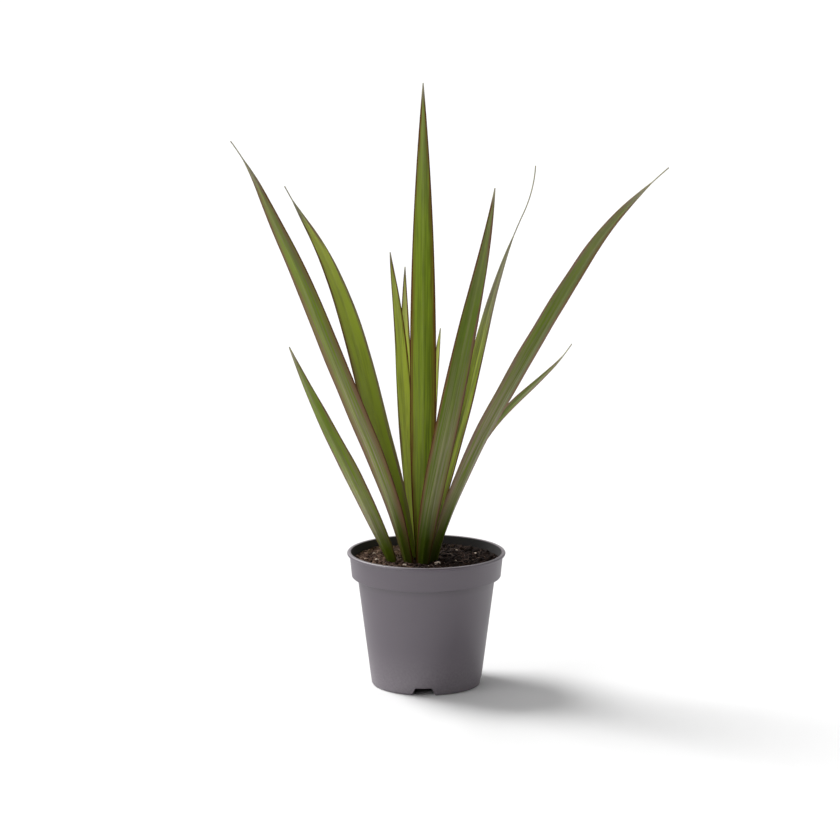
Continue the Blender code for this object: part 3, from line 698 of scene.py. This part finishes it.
def pot_cutters():
    """Wedges through the foot ring and rods through the base, in a collection of their own."""
    collection = bpy.data.collections.new("pot_cutters")
    for index in range(NOTCHES):
        bm = bmesh.new()
        bmesh.ops.create_cube(bm, size=1.0)
        for vert in bm.verts:
            on_top = vert.co.z > 0
            width = NOTCH_TOP_WIDTH if on_top else NOTCH_FOOT_WIDTH
            height = NOTCH_HEIGHT if on_top else -NOTCH_BELOW
            vert.co = Vector((body_radius(0) + vert.co.x * NOTCH_DEPTH, vert.co.y * width, height))
        add_cutter(bm, collection, (0, 0, 0), NOTCH_TURN + 2 * math.pi * index / NOTCHES)
    for index in range(DRAIN_HOLES):
        bm = bmesh.new()
        bmesh.ops.create_cone(bm, cap_ends=True, segments=DRAIN_STEPS,
                              radius1=DRAIN_RADIUS, radius2=DRAIN_RADIUS, depth=BASE_RISE * 2)
        angle = NOTCH_TURN + 2 * math.pi * (index + 0.5) / DRAIN_HOLES
        place = (DRAIN_CIRCLE * math.cos(angle), DRAIN_CIRCLE * math.sin(angle), BASE_RISE)
        add_cutter(bm, collection, place, 0.0)
    return collection


def add_cutter(bm, collection, place, turn):
    """Puts a solid into the collection, at its place and turned about Z."""
    bmesh.ops.recalc_face_normals(bm, faces=bm.faces)
    mesh = bpy.data.meshes.new("cutter")
    bm.to_mesh(mesh)
    bm.free()
    obj = bpy.data.objects.new("cutter", mesh)
    obj.location = place
    obj.rotation_euler.z = turn
    collection.objects.link(obj)


def cut_mesh(mesh, collection):
    """The mesh with all of the collection's solids cut out of it."""
    obj = bpy.data.objects.new("cut", mesh)
    bpy.context.scene.collection.objects.link(obj)
    bpy.context.scene.collection.children.link(collection)
    modifier = obj.modifiers.new("cut", "BOOLEAN")
    modifier.operation = "DIFFERENCE"
    modifier.solver = "EXACT"
    modifier.operand_type = "COLLECTION"
    modifier.collection = collection
    bpy.context.view_layer.update()
    done = bpy.data.meshes.new_from_object(obj.evaluated_get(bpy.context.evaluated_depsgraph_get()))
    for used in [obj, *collection.objects]:
        bpy.data.objects.remove(used, do_unlink=True)
    bpy.data.collections.remove(collection)
    return done


def soil_height(x, y):
    """Height of the soil's top at a place: a shallow dish with soft lumps and grit."""
    share = math.hypot(x, y) / BAND_FOOT_RADIUS
    lumps = noise.noise(Vector((x, y, 0.0)) / SOIL_LUMP_SIZE)
    grains = noise.noise(Vector((x, y, SOIL_LEVEL)) / SOIL_GRAIN_SIZE)
    grit = noise.noise(Vector((x, y, 2 * SOIL_LEVEL)) / SOIL_GRIT_SIZE)
    rise = SOIL_LUMP * lumps + SOIL_GRAIN * grains + SOIL_GRIT * grit
    return SOIL_LEVEL + SOIL_EDGE_RISE * share ** 2 + rise


def soil_mesh(pot):
    """The root ball, GAP clear of the inside of the pot, with a finely lumpy top."""
    base = BASE_RISE + pot.wall + GAP
    shelf = BAND_FOOT + pot.wall + GAP
    clear = pot.wall + GAP
    edge = band_radius(SOIL_LEVEL, pot.height) - clear
    profile = [(edge * i / SOIL_RINGS, SOIL_LEVEL) for i in range(SOIL_RINGS + 1)]
    profile += [(band_radius(shelf, pot.height) - clear, shelf), (body_radius(shelf) - clear, shelf)]
    profile += [(body_radius(base) - clear - SOIL_FOOT_CUT, base), (0.0, base)]
    mesh = turned_mesh("soil_top", profile, SOIL_STEPS)
    for vert in mesh.vertices:
        if vert.co.z > SOIL_LEVEL - HAIR:
            vert.co.z = soil_height(vert.co.x, vert.co.y)
    return mesh


def round_shape(steps):
    """Points and triangles of a unit ball."""
    bm = bmesh.new()
    bmesh.ops.create_icosphere(bm, subdivisions=steps, radius=1.0)
    points = np.array([vert.co[:] for vert in bm.verts])
    faces = np.array([[vert.index for vert in face.verts] for face in bm.faces])
    bm.free()
    return points, faces


def turns(draw, count, tilt):
    """Turn matrices with any heading, and tilted by up to tilt radians."""
    heading, lean, spin = (draw.uniform(-1, 1, count) * most for most in (math.pi, tilt, tilt))
    found = np.zeros((count, 3, 3))
    for i in range(count):
        ca, sa = math.cos(heading[i]), math.sin(heading[i])
        cb, sb = math.cos(lean[i]), math.sin(lean[i])
        cc, sc = math.cos(spin[i]), math.sin(spin[i])
        about_x = np.array([[1, 0, 0], [0, cb, -sb], [0, sb, cb]])
        about_y = np.array([[cc, 0, sc], [0, 1, 0], [-sc, 0, cc]])
        found[i] = np.array([[ca, -sa, 0], [sa, ca, 0], [0, 0, 1]]) @ about_x @ about_y
    return found


def scattered(name, bits, places, sizes, draw):
    """One mesh of many rough balls, each with its own size, turn, dents and shade."""
    points, faces = round_shape(bits.steps)
    count = len(places)
    rough = 1 + bits.dents * draw.uniform(-1, 1, (count, len(points), 1))
    local = points[None] * rough * np.array(bits.squash) * sizes[:, None, None]
    placed = np.einsum("nij,nkj->nki", turns(draw, count, bits.tilt), local) + places[:, None]
    numbered = faces[None] + (np.arange(count) * len(points))[:, None, None]
    mesh = bpy.data.meshes.new(name)
    mesh.from_pydata(placed.reshape(-1, 3).tolist(), [], numbered.reshape(-1, 3).tolist())
    add_attribute(mesh, "shade", "FLOAT", np.repeat(draw.beta(*MOSTLY_DARK, count), len(points)))
    return mesh


def leaf_cuts():
    """Where each leaf comes through the soil: pairs of points (x, y) across its blade."""
    cuts = []
    for leaf in LEAVES.values():
        for t, point, sideways, outward in frames(leaf, CUT_STEPS):
            if point.z > SOIL_LEVEL:
                half = width_at(leaf, t) / 2
                # The margins lie back from the rib by a third of the half width
                back = outward * half / 3
                ends = [point - sideways * half - back, point, point + sideways * half - back]
                cuts += [(a.xy, b.xy) for a, b in zip(ends, ends[1:])]
                break
    return cuts


def clear_of_leaves(x, y, radius, cuts):
    """Whether no leaf stands within the radius of a place."""
    place = Vector((x, y))
    for start, end in cuts:
        along = end - start
        share = min(1.0, max(0.0, (place - start).dot(along) / along.length_squared))
        if (place - start - along * share).length < radius:
            return False
    return True


def spread(draw, count, low, high, rise, cuts):
    """Seeded places on the soil, clear of the leaves, and a size for each."""
    places, sizes = [], []
    share, room = LEAF_ROOM
    while len(places) < count:
        angle = draw.uniform(0, 2 * math.pi)
        size = low * (high / low) ** (draw.random() ** MOSTLY_SMALL)
        reach = (SOIL_EDGE - size) * math.sqrt(draw.random())
        x, y = reach * math.cos(angle), reach * math.sin(angle)
        if clear_of_leaves(x, y, share * size + room, cuts):
            places.append((x, y, soil_height(x, y) + rise * size))
            sizes.append(size)
    return np.array(places), np.array(sizes)


def fibre_mesh(count, draw, cuts):
    """Loose fibres lying on the soil, each a thin bent tube of its own shade."""
    steps, sides = FIBRE_STEPS, FIBRE_SIDES
    starts, lengths = spread(draw, count, *FIBRE_LENGTHS, 0.0, cuts)
    verts, faces, shades = [], [], []
    for start, length in zip(starts, lengths):
        heading = draw.uniform(0, 2 * math.pi)
        bend = draw.uniform(-FIBRE_BEND, FIBRE_BEND)
        radius = draw.uniform(*FIBRE_RADII) * MM
        arch = draw.uniform(0.0, FIBRE_ARCH) * MM
        shade = draw.random()
        x, y = start[0], start[1]
        first = len(verts)
        for i in range(steps):
            t = i / (steps - 1)
            turn = heading + bend * t
            reach = min(1.0, (SOIL_EDGE - radius) / max(math.hypot(x, y), MM))
            z = soil_height(x * reach, y * reach) + radius + arch * math.sin(math.pi * t)
            across = Vector((-math.sin(turn), math.cos(turn), 0.0))
            thin = radius * (1 - FIBRE_THINNING * abs(2 * t - 1) ** 3)
            for k in range(sides):
                angle = 2 * math.pi * k / sides
                spot = Vector((x * reach, y * reach, z)) + across * thin * math.cos(angle)
                verts.append((spot.x, spot.y, spot.z + thin * math.sin(angle)))
                shades.append(shade)
            x += math.cos(turn) * length / (steps - 1)
            y += math.sin(turn) * length / (steps - 1)
        for i in range(steps - 1):
            for k in range(sides):
                a, b = first + i * sides + k, first + i * sides + (k + 1) % sides
                faces.append((a, b, b + sides, a + sides))
        faces.append(tuple(first + k for k in reversed(range(sides))))
        faces.append(tuple(first + (steps - 1) * sides + k for k in range(sides)))
    mesh = bpy.data.meshes.new("coir_fibres")
    mesh.from_pydata(verts, [], faces)
    add_attribute(mesh, "shade", "FLOAT", shades)
    return mesh


def perlite_mesh():
    """White grains at their places, each dented by noise."""
    points, faces = round_shape(PERLITE_STEPS)
    wide, deep, high = PERLITE_SQUASH
    verts, all_faces = [], []
    for x, y, radius in PERLITE:
        first = len(verts)
        centre = Vector((x, y, 0.0)) * MM
        centre.z = soil_height(centre.x, centre.y) + PERLITE_RISE * radius * MM
        for point in points:
            unit = Vector(point)
            lump = 1
            for waves, depth in PERLITE_DENTS:
                lump += depth * noise.noise(unit * waves + centre * PERLITE_OWN)
            verts.append(centre + Vector((unit.x * wide, unit.y * deep, unit.z * high)) * radius * MM * lump)
        all_faces += (faces + first).tolist()
    mesh = bpy.data.meshes.new("perlite")
    mesh.from_pydata(verts, [], all_faces)
    return mesh


def mix(values, t):
    """Straight interpolation in evenly spaced values, t from 0 to 1."""
    place = t * (len(values) - 1)
    i = min(int(place), len(values) - 2)
    return values[i] + (values[i + 1] - values[i]) * (place - i)


def at_stations(values, t):
    """Straight interpolation in values given at STATIONS."""
    return float(np.interp(t, STATIONS, values))


def direction(leaf, t):
    """Unit vector along the leaf at t."""
    right = math.tan(math.radians(at_stations(leaf.right, t)))
    back = math.tan(math.radians(mix(leaf.back, t)))
    return Vector((right, back, 1.0)).normalized()


def width_at(leaf, t):
    """Width of the blade in metres at t."""
    if t < WIDEST_FROM:
        rise = 1 - (1 - t / WIDEST_FROM) ** 2
        width = leaf.width * (ROOT_SHARE + (1 - ROOT_SHARE) * rise)
    else:
        fall = min(1.0, max(0.0, (t - WIDEST_TO) / (leaf.ends - WIDEST_TO)))
        width = TIP_WIDTH + (leaf.width - TIP_WIDTH) * (1 - fall ** leaf.taper)
    return width * MM


def facings(leaf, t):
    """Unit vectors across the leaf and out of its face at t."""
    along = direction(leaf, t)
    compass = math.radians(mix(leaf.facing, t))
    facing = Vector((math.cos(compass), math.sin(compass), 0.0))
    outward = (facing - along * facing.dot(along)).normalized()
    return along.cross(outward), outward


def frames(leaf, count):
    """Middle points of the leaf with its crossways and outward directions, from the root to the tip."""
    sideways, outward = facings(leaf, 0.0)
    # The lowest corner of the root stands GAP above the crown
    dip = (ROOT_THICKNESS * abs(outward.z) + width_at(leaf, 0.0) * abs(sideways.z)) / 2
    point = Vector((leaf.root[0] * MM, leaf.root[1] * MM, CROWN_TOP + GAP + dip))
    step = leaf.length * MM / count
    found = []
    for i in range(count + 1):
        t = i / count
        found.append((t, point.copy(), *facings(leaf, t)))
        point += direction(leaf, min(1.0, (i + 0.5) / count)) * step
    return found


def thickness_at(t, off):
    """Thickness of the blade at t, from 0 at the rib to 1 at the edge."""
    root = max(0.0, 1 - t / ROOT_LENGTH) ** ROOT_POWER
    rib = RIB_THICKNESS + (TIP_THICKNESS - RIB_THICKNESS) * t
    rib += (ROOT_THICKNESS - rib) * root
    edge = EDGE_THICKNESS * (1 + ROOT_EDGE * root)
    return edge + (rib - edge) * (1 - off) ** RIB_POWER


def leaf_mesh(name, leaf, number, settings):
    """A leaf as a closed blade, with its measures and its tone stored on it for the material."""
    columns = [2 * j / settings.columns - 1 for j in range(settings.columns + 1)]
    loop = [(across, 1) for across in columns] + [(across, -1) for across in reversed(columns)]
    verts, places, edges, alongs, tones, skins, feet = [], [], [], [], [], [], []
    for t, point, sideways, outward in frames(leaf, settings.rows):
        fold = math.radians(leaf.fold) * (1 + (FOLD_LEFT - 1) * t)
        half = width_at(leaf, t) / 2
        travel = t * leaf.length * MM
        wax_and_sheen_share = float(np.interp(t, *WAX_AND_SHEEN_ALONG))
        narrowed = float(np.interp(t, *BAND_ALONG))
        for across, side in loop:
            off = abs(across)
            drift = Vector((travel / WAVE_LENGTH, across * WAVE_ACROSS, number * OWN_WAVE))
            wave = settings.wave * noise.noise(drift) * off ** 2 * min(1.0, half / WAVE_WIDTH)
            keel = KEEL * math.exp(-(across * half / KEEL_WIDTH) ** 2) * (1 - t) ** KEEL_POWER
            out = wave - half * off ** CUP_POWER * math.sin(fold)
            out += (side * thickness_at(t, off) / 2) + keel
            verts.append(point + sideways * half * across * math.cos(fold) + outward * out)
            places.append((across * half / MM, travel / MM, number * OWN_STREAKS))
            edges.append((1 - off) * half / MM)
            alongs.append(t / leaf.ends)
            share = (across + 1) / 2
            tones.append((mix(leaf.yellow, t * t), mix(leaf.deep, share), mix(leaf.grey, share) * wax_and_sheen_share))
            skins.append((mix(leaf.band, share) * narrowed, mix(leaf.red, share), leaf.fade))
            feet.append(leaf.foot)
    ring = len(loop)
    faces = [tuple(range(ring)), tuple(range(len(verts) - ring, len(verts)))]
    for row in range(settings.rows):
        for k in range(ring):
            a, b = row * ring + k, row * ring + (k + 1) % ring
            faces.append((a, b, b + ring, a + ring))
    mesh = closed_mesh(name, verts, faces)
    for stored, values in {"leaf_mm": places, "tone": tones, "skin": skins}.items():
        add_attribute(mesh, stored, "FLOAT_VECTOR", values)
    for stored, values in {"edge_mm": edges, "along": alongs, "foot": feet}.items():
        add_attribute(mesh, stored, "FLOAT", values)
    return mesh


class DRAGON_OT_stage(bpy.types.Operator):
    """Adds the white floor, soft lights on the left, a white card on the right, the room and the camera"""

    bl_idname = "dragon.stage"
    bl_label = "Studio"

    def execute(self, context):
        settings = context.scene.dragon_stage
        mesh = bpy.data.meshes.new("paper_floor")
        corners = [(x * FLOOR_REACH, y * FLOOR_REACH, 0) for x, y in ((-1, -1), (1, -1), (1, 1), (-1, 1))]
        mesh.from_pydata(corners, [], [(0, 1, 2, 3)])
        mesh.materials.append(studio_paper(settings))
        floor = bpy.data.objects.new("paper_floor", mesh)
        context.scene.collection.objects.link(floor)

        # Each light by its name, strength, apparent size in degrees and the way that leads to it
        lights = (
            ("key_light", settings.key, 27, (-0.53, 0.36, 0.78)),
            ("side_light", settings.side, 50, (-0.84, -0.52, 0.12)),
            ("card_light", settings.card, 50, (0.97, -0.2, 0.05)),
        )
        for name, strength, size, towards in lights:
            light = bpy.data.lights.new(name, "SUN")
            light.energy = strength
            light.angle = math.radians(size)
            lamp = bpy.data.objects.new(name, light)
            lamp.rotation_euler = Vector(towards).to_track_quat("Z", "Y").to_euler()
            context.scene.collection.objects.link(lamp)

        world = bpy.data.worlds.new("room")
        world.use_nodes = True
        tree = world.node_tree
        sky = tree.nodes["Background"]
        # The room is brightest behind the plant on the left
        towards = node(tree, "VectorMath", {"operation": "DOT_PRODUCT"}, (
            node(tree, "TexCoord").outputs["Generated"], (-0.45, 0.89, 0.0)))
        strength = node(tree, "MapRange", inputs=(towards, -0.8, 0.4, settings.front, settings.back))
        fill(tree, sky, {"Color": (1.0, 1.0, 1.0, 1.0), "Strength": strength})
        context.scene.world = world

        lens = bpy.data.cameras.new("camera")
        lens.lens = settings.lens
        lens.sensor_width = 36.0
        lens.clip_start = 0.05
        lens.clip_end = 60.0
        camera = bpy.data.objects.new("camera", lens)
        camera.location = CAMERA_PLACE
        camera.rotation_euler = (math.pi / 2 - CAMERA_DOWN, 0.0, 0.0)
        context.scene.collection.objects.link(camera)
        context.scene.camera = camera
        context.scene.view_settings.view_transform = "Standard"
        return {"FINISHED"}


class DRAGON_OT_pot(bpy.types.Operator):
    """Builds the nursery pot"""

    bl_idname = "dragon.pot"
    bl_label = "Pot"

    def execute(self, context):
        settings = context.scene.dragon_pot
        mesh = cut_mesh(turned_mesh("nursery_pot", pot_profile(settings), settings.steps), pot_cutters())
        smooth(mesh, SHARP_EDGE)
        # Painted shade: wholly on the inner wall, and partly in the band's shadow below it
        add_attribute(mesh, "stain", "FLOAT", [painted_shade_share(vert.co, settings) for vert in mesh.vertices])
        # A painted highlight along the top of the lip, where the bead catches the light
        highlight_from = settings.height - LIP_HIGHLIGHT_DEPTH
        add_attribute(mesh, "worn", "FLOAT", [LIP_HIGHLIGHT * (vert.co.z > highlight_from) for vert in mesh.vertices])
        new_piece("nursery_pot", mesh, moulded_polypropylene(settings), "pot")
        return {"FINISHED"}


class DRAGON_OT_soil(bpy.types.Operator):
    """Builds the soil with its crumbs, bark chips, fibres and perlite"""

    bl_idname = "dragon.soil"
    bl_label = "Soil"

    def execute(self, context):
        settings = context.scene.dragon_soil
        draw = np.random.default_rng(SEED)
        cuts = leaf_cuts()
        peat = peat_compost(settings)
        top = soil_mesh(context.scene.dragon_pot)
        add_attribute(top, "shade", "FLOAT", [SOIL_SHADE] * len(top.vertices))
        smooth(top)
        new_piece("soil_top", top, peat, "soil")
        for name, bits in BITS.items():
            count = getattr(settings, bits.setting)
            places, sizes = spread(draw, count, bits.least * MM, bits.most * MM, bits.rise, cuts)
            new_piece(name, scattered(name, bits, places, sizes, draw), peat)
        fibres = fibre_mesh(settings.fibres, draw, cuts)
        new_piece("coir_fibres", fibres, coir_fibre(settings))
        perlite = perlite_mesh()
        smooth(perlite)
        new_piece("perlite", perlite, expanded_perlite(settings))
        return {"FINISHED"}


class DRAGON_OT_crown(bpy.types.Operator):
    """Finishes the buried crown that the leaves grow from"""

    bl_idname = "dragon.crown"
    bl_label = "Crown"

    def execute(self, context):
        crown = frame["nodes"]["crown"]
        crown.data.materials.clear()
        crown.data.materials.append(young_cane_bark(context.scene.dragon_soil))
        return {"FINISHED"}


class DRAGON_OT_leaves(bpy.types.Operator):
    """Builds the eleven leaves"""

    bl_idname = "dragon.leaves"
    bl_label = "Leaves"

    def execute(self, context):
        settings = context.scene.dragon_leaves
        material = dragon_tree_leaf(settings)
        for number, (name, leaf) in enumerate(LEAVES.items()):
            mesh = leaf_mesh(f"{name}_blade", leaf, number, settings)
            smooth(mesh)
            new_piece(f"{name}_blade", mesh, material, name)
        return {"FINISHED"}


class DRAGON_PT_panel(bpy.types.Panel):
    """Lists the pieces of the plant with their settings"""

    bl_idname = "DRAGON_PT_panel"
    bl_label = "Potted dragon tree"
    bl_space_type = "VIEW_3D"
    bl_region_type = "UI"
    bl_category = "Dragon tree"

    def draw(self, context):
        for step, group in STEPS.items():
            box = self.layout.box()
            box.operator(f"dragon.{step}")
            for name in group.__annotations__ if group else ():
                box.prop(getattr(context.scene, f"dragon_{step}"), name)


CLASSES = (
    PotSettings, SoilSettings, LeafSettings, StageSettings,
    DRAGON_OT_stage, DRAGON_OT_pot, DRAGON_OT_soil, DRAGON_OT_crown, DRAGON_OT_leaves, DRAGON_PT_panel,
)
# The steps of the build in their order, with the settings of each
STEPS = {
    "stage": StageSettings, "pot": PotSettings, "soil": SoilSettings, "crown": None, "leaves": LeafSettings,
}


def register():
    for cls in CLASSES:
        bpy.utils.register_class(cls)
    for step, group in STEPS.items():
        if group:
            setattr(bpy.types.Scene, f"dragon_{step}", PointerProperty(type=group))


def unregister():
    for step, group in STEPS.items():
        if group:
            delattr(bpy.types.Scene, f"dragon_{step}")
    for cls in reversed(CLASSES):
        bpy.utils.unregister_class(cls)


def main():
    register()
    bpy.ops.dragon.stage()
    bpy.ops.dragon.pot()
    bpy.ops.dragon.soil()
    bpy.ops.dragon.crown()
    bpy.ops.dragon.leaves()


if __name__ == "__main__":
    main()
